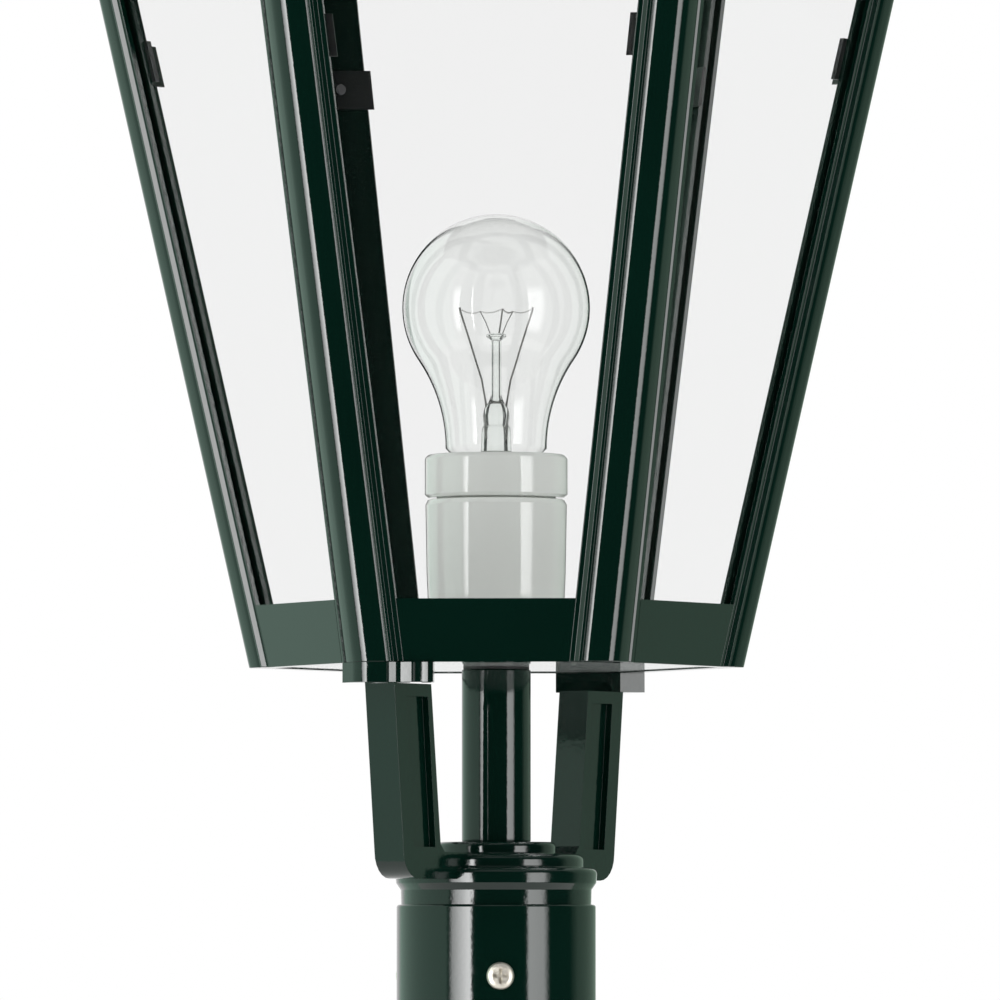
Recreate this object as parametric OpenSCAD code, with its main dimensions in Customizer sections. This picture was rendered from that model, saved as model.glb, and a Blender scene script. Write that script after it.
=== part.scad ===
// Street lamp post: a hexagonal glazed lantern on a round tube with a cast base.
// Millimetres. The origin is the centre of the base's underside, +Z is up and the lantern's front faces -Y.

/* [Overall] */
// Height of the lantern's underside above the ground
lantern_z = 1700; // [1400:10:2600]

/* [Lantern body] */
// Height of the glazed body
body_h = 272; // [240:1:300]
// Distance from the axis to an outer corner, at the underside
corner_r = 80; // [78:0.5:84]
// How far each corner moves outwards for each millimetre of height
corner_lean = 0.2262; // [0.20:0.001:0.24]
// Height of the bottom rail
rail_h = 19.7; // [17:0.1:24]
// Radius of a corner post's rounded nose
nose_r = 7; // [5:0.5:8]
// Width of a corner post along each face
flank_w = 14.2; // [13.6:0.1:16]
// Thickness of the glass
glass_t = 2; // [1.6:0.1:2.4]

/* [Post] */
// Outer radius of the post tube
tube_r = 31.75; // [31:0.25:32]
// Wall of the post tube
tube_wall = 3; // [2.5:0.5:3.5]
// Depth of the tube's top below the lantern's underside
head_drop = 75.4; // [74:0.1:80]

/* [Head and arms] */
// Radius of the central stem tube
stem_r = 11; // [10:0.5:12]
// Tangential width of a support arm
arm_w = 11; // [9:0.5:12]
// Radial depth of a support arm
arm_d = 21.3; // [19:0.1:23]

/* [Lamp] */
// Radius of the bulb's globe
bulb_r = 30; // [27:0.5:30]
// Radius of the porcelain lampholder
holder_r = 22.6; // [22:0.1:25]

/* [Roof] */
// Radius of the roof's eaves, across the corners
eave_r = 165; // [162:1:180]
// Height of the sloping part of the roof
roof_h = 74; // [60:1:90]

/* [Base] */
// Radius of the base's flange
flange_r = 125; // [122:1:150]
// Radius of the base's column
column_r = 65; // [64:0.5:66]
// Diameter of the circle of anchor holes
anchor_pcd = 210; // [205:1:215]
// Radius of an anchor hole
anchor_hole_r = 7; // [6:0.5:8]

/* [Hidden] */
$fn = 64;

big = 600;              // side of a cutting block
fit = 0.05;             // radial clearance of a running fit
tiny = 0.02;            // radial clearance of a close, fixed fit
lean = atan(corner_lean);
face_rise = corner_lean * cos(30);   // growth of the apothem with height
apothem = corner_r * cos(30);        // apothem of the posts' outer planes at the underside
rail_in = 1.4;          // the rail's plane lies this far inside the posts' planes
plate_t = 1.7;          // thickness of the rail and flank plates, measured level
strip_t = 1.4;          // thickness of a glazing strip
glass_out = rail_in + plate_t;       // level depth of the glass's outer face
glass_level = glass_t / cos(atan(face_rise));
strip_out = glass_out + glass_level + 2 * fit; // level depth of the strip's outer face
strip_in = strip_out + strip_t;
frame_in = 8;           // level depth of the frames' inner faces
ledge_z = 12;           // height of the ledge that the panes stand on
post_top = body_h - 4;
top_rail_z = body_h - 22;
top_ledge_z = body_h - 14;   // the panes and strips end just below this
web_w = 10;             // width of a post's web along each face
clip_z = 187;           // height of the glazing clips
clip_h = 13;
glazing_screw_z = [60, clip_z + clip_h / 2];
clip_t = 1.5;
clip_w = 16.4;          // width of a clip along each face

// Turning parts
hinge_y = 149;
hinge_z = body_h + 2.3;
door_axis = [-44, -56];
door_half_w = 36;
door_z0 = 91;
door_z1 = 269;
lock_x = 24;
lock_z = 180;
screw_y = -134;         // place of the roof's thumb screw
seat_z = 320;           // height of the shelf that the tube stands on

// Point of a horizontal section near a corner: s runs along the face from the corner, h is outwards
function flank(s, h, side) = [-s * cos(60) + h * cos(30), side * (s * sin(60) + h * sin(30))];

function mirrored(points) = [for (i = [len(points) - 1 : -1 : 0]) [points[i][0], -points[i][1]]];

function nose(r) = [for (t = [0 : 6 : 30]) [-r / cos(30) + r * cos(t), r * sin(t)]];

// Half of a corner post's level section, from the nose to the inner edge
post_half = concat(nose(nose_r), [
    flank(8.0, 0, 1), flank(9.4, -0.75, 1), flank(10.2, -0.15, 1), flank(11.1, -0.15, 1),
    flank(12.5, -rail_in, 1), flank(flank_w, -rail_in, 1), flank(flank_w, -glass_out, 1),
    flank(web_w, -glass_out, 1),
    flank(web_w, fit - strip_out, 1), [(fit - strip_out) / cos(30), 0]]);

strip_half = [[-strip_out / cos(30), 0], flank(flank_w, -strip_out, 1), flank(flank_w, -strip_in, 1),
    [-strip_in / cos(30), 0]];

clip_half = [[-(strip_in + fit) / cos(30), 0], flank(clip_w, -strip_in - fit, 1),
    flank(clip_w, -strip_in - clip_t, 1), [-(strip_in + clip_t) / cos(30), 0]];

// A prism with the given level half section, along a corner edge, between two heights
module along_corner(half, z0, z1) {
    section = [for (p = concat(mirrored(half), half)) [p[0] * cos(lean), p[1]]];
    intersection() {
        translate([corner_r, 0, 0]) rotate([0, lean, 0])
            translate([0, 0, -big / 4]) linear_extrude(big) polygon(section);
        translate([-big / 2, -big / 2, z0]) cube([big, big, z1 - z0]);
    }
}

// A hexagonal solid with flat faces whose apothem changes from a1 at z1 to a2 at z2
module hex_taper(a1, z1, a2, z2) {
    intersection() {
        translate([-big, -big, z1]) cube([2 * big, 2 * big, z2 - z1]);
        intersection_for(i = [0 : 5]) rotate([0, 0, 30 + 60 * i])
            translate([a1, 0, z1]) rotate([0, atan2(a2 - a1, z2 - z1), 0])
                translate([-2 * big, -2 * big, -2 * big]) cube([2 * big, 4 * big, 4 * big]);
    }
}

// The lantern's own taper, at a level distance h outside the posts' planes
module body_taper(h, z0, z1) {
    hex_taper(apothem + face_rise * z0 + h, z0, apothem + face_rise * z1 + h, z1);
}

module at_lantern() {
    translate([0, 0, lantern_z]) children();
}

module at_corner(i) {
    at_lantern() rotate([0, 0, 60 * i]) children();
}

module each_corner() {
    for (i = [0 : 5]) rotate([0, 0, 60 * i]) children();
}

// A level cylinder that points outwards along X
module radial_pin(r, x0, x1, z) {
    translate([x0, 0, z]) rotate([0, 90, 0]) cylinder(h = x1 - x0, r = r);
}

module cross_recess(w, depth) {
    for (a = [0, 90]) rotate([0, 0, a]) translate([-w / 2, -0.4, -depth]) cube([w, 0.8, depth + 1]);
}

// Lantern ---------------------------------------------------------------------------------------

frame_screw_z = [6.2, body_h - 9];

function corner_x(z) = corner_r + corner_lean * z;

// The frame screws' shanks, which also cut their own holes
module frame_screw_shanks(r) {
    for (z = frame_screw_z) radial_pin(r, corner_x(z) - 18, corner_x(z) - 4, z);
}

module frame_screw_heads(r) {
    for (z = frame_screw_z) radial_pin(r, corner_x(z) - 16, corner_x(z) - 11, z);
}

module glazing_screw_shanks(r) {
    for (z = glazing_screw_z) radial_pin(r, corner_x(z) - 14, corner_x(z) - 3.4, z);
}

module corner_post(i) {
    color([0.01, 0.14, 0.1]) at_corner(i) difference() {
        along_corner(post_half, 0, post_top);
        frame_screw_shanks(1.5 + tiny);
        glazing_screw_shanks(1 + tiny);
    }
}

module post_outlines() {
    each_corner() along_corner(post_half, -1, post_top);
}

module bottom_frame() {
    color([0.01, 0.13, 0.09]) at_lantern() difference() {
        body_taper(-rail_in, 0, rail_h);
        body_taper(-glass_out, ledge_z, rail_h + 1);
        body_taper(-frame_in, 5.4, rail_h + 1);
        body_taper(-frame_in - 4, 3.3, 6);
        body_taper(-frame_in, -1, 3.3);
        post_outlines();
        each_corner() {
            frame_screw_shanks(1.5 + tiny);
            frame_screw_heads(2.9);
        }
        pad_screw_places() cylinder(h = 16, r = 2 + tiny);
    }
}

module bottom_pane() {
    color([0.9, 0.92, 0.9]) at_lantern() difference() {
        translate([0, 0, 0.3]) linear_extrude(3) circle(r = (apothem - frame_in - 0.3) / cos(30), $fn = 6);
        cylinder(h = 10, r = 5.4);
    }
}

module top_frame() {
    color([0.01, 0.13, 0.09]) at_lantern() difference() {
        union() {
            body_taper(-rail_in, top_rail_z, post_top);
            translate([0, 0, post_top]) linear_extrude(body_h - post_top)
                circle(r = corner_x(body_h) + 2.3, $fn = 6);
            translate([-28, 100, post_top]) cube([56, 36, body_h - post_top]);
            translate([0, screw_y, post_top]) cylinder(h = body_h - post_top, r = 11);
            translate([-11, screw_y, post_top]) cube([22, 20, body_h - post_top]);
        }
        body_taper(-glass_out, top_rail_z - 1, top_ledge_z);
        body_taper(-frame_in, top_rail_z - 1, post_top);
        translate([0, 0, post_top - 1]) linear_extrude(body_h)
            circle(r = (apothem + face_rise * post_top - frame_in - 6) / cos(30), $fn = 6);
        post_outlines();
        each_corner() {
            frame_screw_shanks(1.5 + tiny);
            frame_screw_heads(2.9);
        }
        translate([0, screw_y, 0]) cylinder(h = big, r = 3.5);
        hinge_rivets(2 + tiny);
    }
}

module frame_screws() {
    color([0.7, 0.7, 0.7]) at_lantern() each_corner() for (z = frame_screw_z) {
        radial_pin(1.5, corner_x(z) - 12, corner_x(z) - 4.5, z);
        radial_pin(2.6, corner_x(z) - 13.5, corner_x(z) - 11.5, z);
    }
}

// A pane is a trapezium in the plane of its face
module glass_pane(i) {
    tilt = atan(face_rise);
    z0 = ledge_z + 0.5;
    z1 = top_ledge_z - 1;
    gap = web_w + 0.6;
    function half_w(z) = corner_x(z) / 2 - gap;
    color([0.8, 0.9, 0.9, 0.4]) at_lantern() rotate([0, 0, 30 + 60 * i])
        translate([apothem - glass_out - fit, 0, 0]) rotate([0, tilt, 0])
            translate([-glass_t, 0, 0]) rotate([90, 0, 90]) linear_extrude(glass_t)
                polygon([[-half_w(z0), z0 / cos(tilt)], [half_w(z0), z0 / cos(tilt)],
                    [half_w(z1), z1 / cos(tilt)], [-half_w(z1), z1 / cos(tilt)]]);
}

module glazing_strips() {
    color([0.02, 0.05, 0.04]) at_lantern() each_corner() difference() {
        along_corner(strip_half, ledge_z + 0.5, top_ledge_z - 0.5);
        glazing_screw_shanks(1 + tiny);
    }
}

module glazing_clips() {
    color([0.03, 0.03, 0.03]) at_lantern() each_corner() difference() {
        along_corner(clip_half, clip_z, clip_z + clip_h);
        glazing_screw_shanks(1 + tiny);
    }
}

module glazing_screws() {
    color([0.6, 0.6, 0.6]) at_lantern() each_corner() for (z = glazing_screw_z) {
        seat = corner_x(z) - (strip_in + (z > clip_z ? clip_t : 0)) / cos(30) - 1.8 * tan(30) - fit;
        radial_pin(1, seat - 0.5, corner_x(z) - 4.2, z);
        radial_pin(1.8, seat - 2, seat, z);
    }
}

// Stem, arms and head ---------------------------------------------------------------------------

head_z = -head_drop;
leg_top = -59;
leg_bottom = -67.5;
leg_inner = 15;
pad_h = 6.3;
arm_top_r = 67.8;
arm_lean = 5.5;         // how far an arm's foot moves inwards over its height
corner_round = 8.5;
arm_screw_x = 22.5;     // distance of an arm's screw from the axis

module arm_outline() {
    low = leg_bottom;
    outer = arm_top_r - arm_lean;
    polygon(concat(
        [[arm_top_r, -pad_h]],
        [for (t = [0 : -15 : -90]) [outer - corner_round + corner_round * cos(t),
            low + corner_round + corner_round * sin(t)]],
        [[leg_inner, low], [leg_inner, leg_top], [outer - arm_d - 2.5, leg_top],
            [outer - arm_d, leg_top + 2.5], [arm_top_r - arm_d, -pad_h]]));
}

// The sunk panel on each side of an arm
module arm_panel() {
    inner_top = arm_top_r - arm_d + 2.2;
    polygon([[inner_top - 0.3, -pad_h - 4], [inner_top + 12.4, -pad_h - 4],
        [inner_top - arm_lean + 13, -57.5], [inner_top - arm_lean + 0.8, -57.5]]);
}

function lobe(s0, s1, rise) = [flank(s0, -0.8, 1), flank(s1, -0.8 + rise, 1), flank(s1 + 1, -0.8, 1)];

// Level outline of a foot pad: long along one face, short along the other
pad_outline = concat(
    [flank(11, -9, -1), flank(11, 0, -1)], mirrored(nose(nose_r)), nose(nose_r),
    [flank(9, 0, 1)], lobe(9.6, 11.8, 0.75), lobe(13.4, 16.7, 1.0), lobe(19.6, 21.8, 0.75),
    [flank(23.4, -0.8, 1), flank(23.4, -9, 1), [-9 / cos(30), 0]]);

// A screw goes up through the long side of each pad into the bottom frame
module pad_screw_places() {
    place = flank(17.6, -5.5, 1);
    for (a = [60, 240]) rotate([0, 0, a]) translate([corner_r + place[0], place[1], -pad_h]) children();
}

module support_arm(angle) {
    color([0.01, 0.14, 0.1]) at_lantern() difference() {
        rotate([0, 0, angle]) {
            difference() {
                rotate([90, 0, 0]) linear_extrude(arm_w, center = true) arm_outline();
                for (side = [-1, 1]) translate([0, side * arm_w / 2, 0]) rotate([90, 0, 0])
                    linear_extrude(4.4, center = true) arm_panel();
                translate([arm_screw_x, 0, leg_bottom - 1]) cylinder(h = 12, r = 2.5 + tiny);
                translate([arm_screw_x, 0, leg_top - 2.5]) cylinder(h = 2.51, r1 = 2.5, r2 = 5);
            }
            translate([0, 0, -pad_h]) linear_extrude(pad_h) translate([corner_r, 0]) polygon(pad_outline);
        }
        pad_screw_places() {
            translate([0, 0, -1]) cylinder(h = 12, r = 2 + tiny);
            translate([0, 0, -0.01]) cylinder(h = 2, r1 = 4, r2 = 2);
        }
    }
}

module arm_screws() {
    color([0.7, 0.7, 0.7]) at_lantern() for (a = [60, 240]) rotate([0, 0, a]) translate([arm_screw_x, 0, 0]) {
        translate([0, 0, leg_top - 2.5]) cylinder(h = 2.3, r1 = 2.3, r2 = 4.6);
        translate([0, 0, leg_bottom - 5]) cylinder(h = 12, r = 2.3);
    }
}

module pad_screws() {
    color([0.7, 0.7, 0.7]) at_lantern() pad_screw_places() {
        translate([0, 0, 0.2]) cylinder(h = 1.7, r1 = 3.7, r2 = 2);
        translate([0, 0, 1]) cylinder(h = 13, r = 2);
    }
}

// Outline of the stepped head: three rounded tiers, a groove and the spigot inside the tube
module head_outline() {
    step1 = -55.5;
    step2 = -59.4;
    step3 = -63.8;
    lip = -70.3;
    function round_edge(r, z, e) = [for (t = [90 : -15 : 0]) [r - e + e * cos(t), z - e + e * sin(t)]];
    spigot_r = tube_r - tube_wall - fit;
    polygon(concat(
        [[5.1, step1]], round_edge(19, step1, 1.6), [[19, step2]],
        round_edge(27.8, step2, 2.4), [[27.8, step3]],
        round_edge(32.3, step3, 3), [[32.3, lip + 1], [31.3, lip], [30.2, lip - 0.6],
            [30.2, head_z], [spigot_r, head_z], [spigot_r, head_z - 55], [22, head_z - 55],
            [22, -74], [5.1, -74]]));
}

module head_screw_places() {
    for (a = [0, 120, 240]) rotate([0, 0, 274.9 + a]) children();
}

head_screw_z = -98;

module head_casting() {
    color([0.01, 0.14, 0.1]) at_lantern() difference() {
        rotate_extrude() head_outline();
        for (a = [60, 240]) rotate([0, 0, a]) {
            translate([leg_inner, -arm_w / 2, leg_bottom]) cube([40, arm_w, 20]);
            translate([arm_screw_x, 0, leg_bottom - 6]) cylinder(h = 10, r = 2.3 + tiny);
        }
        head_screw_places() radial_pin(2.1 + tiny, 18, 40, head_screw_z);
    }
}

module head_screws() {
    color([0.75, 0.74, 0.7]) at_lantern() head_screw_places() {
        radial_pin(2.1, 23, tube_r + 0.6, head_screw_z);
        translate([tube_r + 0.3, 0, head_screw_z]) rotate([0, 90, 0]) difference() {
            rotate_extrude() polygon([[0, 0], [4.35, 0], [4.35, 1.2], [3.9, 2.1], [2.8, 2.6], [0, 2.8]]);
            translate([0, 0, 2.8]) cross_recess(4.4, 1.3);
        }
    }
}

module stem_tube() {
    color([0.01, 0.12, 0.08]) at_lantern() translate([0, 0, -55.5]) difference() {
        cylinder(h = 54.9, r = stem_r);
        translate([0, 0, -1]) cylinder(h = 60, r = stem_r - 2);
    }
}

module stem_nipple() {
    color([0.3, 0.28, 0.2]) at_lantern() translate([0, 0, -82]) difference() {
        cylinder(h = 101, r = 5);
        translate([0, 0, -1]) cylinder(h = 110, r = 3.6);
    }
}

module nipple_nuts() {
    color([0.7, 0.65, 0.4]) at_lantern() for (z = [-79.5, 13.5]) translate([0, 0, z]) difference() {
        linear_extrude(5) circle(r = 8, $fn = 6);
        translate([0, 0, -1]) cylinder(h = 7, r = 5 + tiny);
    }
}

module stem_washers() {
    color([0.05, 0.05, 0.05]) at_lantern() for (z = [[-0.6, 0.3, 10.5], [3.3, 6, 16], [12, 13.5, 9]])
        translate([0, 0, z[0]]) difference() {
            cylinder(h = z[1] - z[0], r = z[2]);
            translate([0, 0, -1]) cylinder(h = 5, r = 5.2);
        }
}

module post_tube() {
    color([0.01, 0.14, 0.1]) difference() {
        translate([0, 0, seat_z]) cylinder(h = lantern_z - head_drop - seat_z, r = tube_r);
        translate([0, 0, seat_z - 1]) cylinder(h = lantern_z, r = tube_r - tube_wall);
        at_lantern() head_screw_places() radial_pin(2.3, 20, 40, head_screw_z);
    }
}

// Lamp ------------------------------------------------------------------------------------------

module lampholder_body() {
    color([0.86, 0.88, 0.84]) at_lantern() difference() {
        rotate_extrude() polygon([[5.4, 6], [19.5, 6], [21.2, 8], [holder_r - 0.4, 30], [holder_r, 52],
            [holder_r - 0.8, 53.4], [19, 53.4], [19, 55], [14.7, 55], [14.7, 33], [5, 33], [5, 30],
            [16, 30], [16, 12], [5.4, 12]]);
        for (a = [0, 180]) rotate([0, 0, a]) translate([10, 0, 28]) cylinder(h = 7, r = 1.6);
    }
}

module lampholder_ring() {
    color([0.88, 0.9, 0.86]) at_lantern() rotate_extrude() polygon([[19.1, 54.4], [holder_r - 0.8, 54.4],
        [holder_r + 0.2, 55.4], [holder_r + 0.2, 66.6], [holder_r - 1, 68], [18, 68], [17.4, 67],
        [17.4, 62.5], [14.7, 61.5], [14.7, 55.1], [19.1, 55.1]]);
}

module lampholder_shell() {
    color([0.8, 0.65, 0.3]) at_lantern() translate([0, 0, 33.1]) difference() {
        cylinder(h = 28, r = 14.5);
        translate([0, 0, 1]) cylinder(h = 30, r = 13.9);
        translate([0, 0, -1]) cylinder(h = 5, r = 7);
    }
}

module lampholder_contact() {
    color([0.8, 0.65, 0.3]) at_lantern() {
        translate([0, 0, 33.1]) cylinder(h = 1, r = 5);
        translate([0, 0, 34.1]) cylinder(h = 4.4, r = 1.5);
    }
}

bulb_z = 115;           // height of the globe's centre
neck_r = 16.2;
neck_drop = 45;         // depth of the neck's narrowest point below the globe's centre
// Radius of the concave arc that joins the globe to the neck
blend_r = (pow(neck_drop, 2) + pow(neck_r, 2) - pow(bulb_r, 2)) / (2 * (bulb_r - neck_r));
blend_a = asin(neck_drop / (bulb_r + blend_r));

// The bulb's outline, inset by w
function bulb_profile(w) = concat(
    [for (t = [90 : -5 : -blend_a]) [(bulb_r - w) * cos(t), bulb_z + (bulb_r - w) * sin(t)]],
    [for (k = [0 : 6]) let (t = 180 - blend_a * (1 - k / 6))
        [(neck_r + blend_r) + (blend_r + w) * cos(t), bulb_z - neck_drop + (blend_r + w) * sin(t)]]);

module bulb_glass() {
    color([0.95, 0.97, 0.97, 0.4]) at_lantern() rotate_extrude() difference() {
        polygon(concat([[0, 66]], [[0, bulb_z + bulb_r]], bulb_profile(0), [[12.9, 66]]));
        polygon(concat([[0, 60]], [[0, bulb_z + bulb_r - 0.7]], bulb_profile(0.7), [[12.2, 66], [12.2, 60]]));
    }
}

module bulb_cap() {
    color([0.8, 0.78, 0.7]) at_lantern() difference() {
        union() {
            translate([0, 0, 44]) cylinder(h = 22, r = 13.2);
            translate([0, 0, 41]) cylinder(h = 3, r1 = 7, r2 = 12.6);
        }
        translate([0, 0, 45]) cylinder(h = 22, r = 12.6);
    }
}

module bulb_contact() {
    color([0.75, 0.72, 0.6]) at_lantern() translate([0, 0, 39]) cylinder(h = 2, r = 4.5);
}

module bulb_mount() {
    color([0.9, 0.95, 0.95, 0.5]) at_lantern() rotate_extrude() polygon([[0, 60], [9.5, 60], [9, 62],
        [5, 68], [4.7, 75], [3.9, 77.4], [4.3, 80.5], [3.8, 83], [1.6, 87], [1.6, 104.6], [3.2, 105.4],
        [3.2, 106.4], [0, 106.9]]);
}

module wire(a, b, r) {
    d = b - a;
    translate(a) rotate([0, acos(d[2] / norm(d)), atan2(d[1], d[0])]) cylinder(h = norm(d), r = r, $fn = 16);
}

module bulb_filament() {
    color([0.4, 0.4, 0.4]) at_lantern() {
        for (side = [-1, 1]) {
            wire([side * 4.4, 0, 85], [side * 11.5, 0, 114], 0.35);
            wire([side * 11.5, 0, 114.5], [side * 0.5, 0, 113], 0.3);
        }
        wire([0, 0, 107], [0, 0, 113.2], 0.4);
    }
}

// Roof ------------------------------------------------------------------------------------------

roof_z = body_h + 0.3;
slope_z = body_h + 4.3;
roof_foot = 126;        // apothem at the foot of the roof's slope
roof_neck = 34;         // apothem at the top of the slope
roof_top = slope_z + roof_h;
collar_z = roof_top + 4;
cap_z = collar_z + 20;
finial_z = cap_z + 21;

module roof() {
    color([0.01, 0.14, 0.1]) at_lantern() difference() {
        union() {
            translate([0, 0, roof_z]) linear_extrude(slope_z - roof_z) circle(r = eave_r, $fn = 6);
            hex_taper(roof_foot, slope_z, roof_neck, roof_top);
            translate([0, 0, roof_top]) cylinder(h = 4, r = 33);
        }
        translate([0, 0, roof_z - 1]) linear_extrude(3.01) circle(r = 108 / cos(30), $fn = 6);
        hex_taper(roof_foot - 5, roof_z + 2, roof_neck - 5, roof_top - 4);
        translate([0, 0, roof_top - 6]) cylinder(h = 20, r = 26);
        translate([0, screw_y, 0]) cylinder(h = big, r = 3 + fit);
    }
}

module vent_collar() {
    color([0.01, 0.13, 0.09]) at_lantern() translate([0, 0, collar_z]) difference() {
        rotate_extrude() polygon([[26, 0], [36, 0], [36, 3], [31, 5], [31, 20], [26, 20]]);
        for (i = [0 : 7]) rotate([0, 0, 45 * i]) translate([20, -4, 7]) cube([20, 8, 9]);
    }
}

module vent_cap() {
    color([0.01, 0.14, 0.1]) at_lantern() translate([0, 0, cap_z]) difference() {
        rotate_extrude() polygon(concat([[6, 0], [48, 0], [48, 3]],
            [for (t = [15 : 15 : 75]) [14 + 34 * cos(t), 3 + 17 * sin(t)]], [[14, 21], [6, 21]]));
        translate([0, 0, -1]) cylinder(h = 4, r = 22);
    }
}

module finial() {
    color([0.01, 0.14, 0.1]) at_lantern() translate([0, 0, finial_z]) rotate_extrude() polygon(concat(
        [[0, -18], [5.9, -18], [5.9, 0], [13, 0], [13, 4], [8, 8], [6, 16], [9, 20], [9, 23], [6, 25]],
        [for (t = [-60 : 15 : 60]) [15 * cos(t), 39 + 15 * sin(t)]],
        [[6, 55], [4, 62], [5.5, 66], [4, 72], [1.5, 86], [0, 104.4]]));
}

module hinge_rivets(r) {
    for (x = [-18, 18]) translate([x, 131, body_h - 9]) cylinder(h = 9, r = r);
}

module roof_hinge_lower() {
    color([0.02, 0.1, 0.08]) at_lantern() {
        difference() {
            union() {
                translate([-25, 125, body_h - 7]) cube([50, 29, 3]);
                for (x = [-25, 9]) {
                    translate([x, 146.5, body_h - 5]) cube([16, 5, 7]);
                    translate([x, hinge_y, hinge_z]) rotate([0, 90, 0]) cylinder(h = 16, r = 5);
                }
            }
            translate([-30, hinge_y, hinge_z]) rotate([0, 90, 0]) cylinder(h = 60, r = 2 + tiny);
            hinge_rivets(2 + tiny);
        }
        hinge_rivets(2);
    }
}

module roof_hinge_pin() {
    color([0.7, 0.7, 0.7]) at_lantern() translate([-27, hinge_y, hinge_z]) rotate([0, 90, 0]) {
        cylinder(h = 54, r = 2);
        translate([0, 0, -1.5]) cylinder(h = 1.6, r = 3.2);
    }
}

module roof_hinge_upper() {
    color([0.02, 0.1, 0.08]) at_lantern() difference() {
        union() {
            translate([-8.5, 129, slope_z]) cube([17, 17, 2.6]);
            translate([-8.5, 143.4, hinge_z]) cube([17, 5, 4.6]);
            translate([-8.5, hinge_y, hinge_z]) rotate([0, 90, 0]) cylinder(h = 17, r = 5);
        }
        translate([-30, hinge_y, hinge_z]) rotate([0, 90, 0]) cylinder(h = 60, r = 2 + fit);
    }
}

module roof_screw() {
    color([0.75, 0.6, 0.3]) at_lantern() translate([0, screw_y, 0]) {
        translate([0, 0, post_top - 4]) cylinder(h = slope_z - post_top + 4.2, r = 3);
        translate([0, 0, slope_z + 0.2]) difference() {
            cylinder(h = 10, r = 8);
            for (i = [0 : 11]) rotate([0, 0, 30 * i]) translate([8.6, 0, 2]) cylinder(h = 9, r = 1.4);
        }
    }
}

// Base ------------------------------------------------------------------------------------------

column_in = column_r - 8;
cove_r = 30;            // radius of the cove above the flange
collar_r = 42;          // radius of the collar that holds the tube
column_top = 322;
tube_screw_z = 375;
board_screw_z = [112, 248];
earth_z = 125;

// Points of a quarter circle that is hollow outwards, from level to upright
function cove(x, z, r) = [for (t = [270 : -10 : 180]) [x + r * cos(t), z + r + r * sin(t)]];

function bead(x, z, r) = [for (t = [-90 : 18 : 90]) [x + r * cos(t), z + r + r * sin(t)]];

module base_outline() {
    foot = flange_r - 8;
    neck = foot - cove_r;
    top = 15 + cove_r;
    polygon(concat(
        [[column_in, 0], [flange_r, 0]],
        [for (t = [0 : 15 : 90]) [flange_r - 4 + 4 * cos(t), 11 + 4 * sin(t)]],
        cove(foot, 15, cove_r), bead(neck, top, 4), cove(neck - 4, top + 8, neck - 4 - column_r),
        [[column_r, column_top - 14]], bead(column_r + 1, column_top - 12, 5),
        cove(column_r, column_top, column_r - collar_r),
        [[collar_r, 362]], bead(collar_r, 364, 3),
        [[collar_r, 372], [collar_r, 386], [collar_r - 2, 388], [tube_r + fit, 388],
            [tube_r + fit, seat_z], [20, seat_z], [20, 308], [column_in, 308]]));
}

module door_knuckle(z, h, r) {
    translate([door_axis[0], door_axis[1], z]) cylinder(h = h, r = r);
}

knuckle_z = [110, 225];
knuckle_h = 25;

module base_casting() {
    color([0.01, 0.13, 0.09]) difference() {
        union() {
            difference() {
                rotate_extrude() base_outline();
                translate([-door_half_w - 1, -big, door_z0 - 1])
                    cube([2 * door_half_w + 2, big - 20, door_z1 - door_z0 + 2]);
            }
            for (z = knuckle_z, dz = [0, 17]) {
                door_knuckle(z + dz, 8, 4.5);
                translate([door_axis[0] - 3.5, door_axis[1], z + dz]) cube([6, 10, 8]);
            }
            for (z = board_screw_z) translate([-8, 16, z - 8]) cube([16, column_in - 15, 16]);
        }
        for (z = knuckle_z) door_knuckle(z - 5, 40, 2 + tiny);
        for (z = board_screw_z) translate([0, 0, z]) rotate([-90, 0, 0]) cylinder(h = 30, r = 2.5 + tiny);
        for (i = [0 : 3]) rotate([0, 0, 45 + 90 * i]) translate([anchor_pcd / 2, 0, -1])
            cylinder(h = 60, r = anchor_hole_r);
        for (i = [0 : 2]) rotate([0, 0, 30 + 120 * i]) radial_pin(4 + tiny, 30, 60, tube_screw_z);
        translate([30, 0, earth_z]) rotate([0, 90, 0]) cylinder(h = 32, r = 4 + tiny);
    }
}

module base_door() {
    color([0.01, 0.14, 0.1]) difference() {
        union() {
            intersection() {
                difference() {
                    cylinder(h = 300, r = column_r);
                    translate([0, 0, -1]) cylinder(h = 302, r = column_in);
                }
                translate([-door_half_w, -big, door_z0])
                    cube([2 * door_half_w, big - 20, door_z1 - door_z0]);
            }
            for (z = knuckle_z) {
                door_knuckle(z + 8.5, 8, 4.5);
                translate([door_axis[0], -60, z + 8.5]) cube([14, 4, 8]);
            }
            translate([lock_x, -50, lock_z]) rotate([90, 0, 0]) cylinder(h = 13, r = 11);
        }
        for (z = knuckle_z) door_knuckle(z, 30, 2 + fit);
        translate([lock_x, -30, lock_z]) rotate([90, 0, 0]) cylinder(h = 40, r = 5 + fit);
    }
}

module door_hinge_pins() {
    color([0.7, 0.7, 0.7]) for (z = knuckle_z) {
        door_knuckle(z, knuckle_h + 1, 2);
        door_knuckle(z + knuckle_h, 2, 3);
    }
}

// The lock's barrel with a three-sided key recess, and the cam behind the door
module door_lock() {
    color([0.6, 0.6, 0.6]) translate([lock_x, 0, lock_z]) {
        rotate([90, 0, 0]) difference() {
            union() {
                translate([0, 0, 34]) cylinder(h = 29.2, r = 5);
                translate([0, 0, 63.2]) cylinder(h = 2.5, r = 8);
            }
            translate([0, 0, 59]) linear_extrude(10) circle(r = 3.6, $fn = 3);
        }
        translate([-5, -37, -17]) cube([10, 3, 19]);
    }
}

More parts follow.
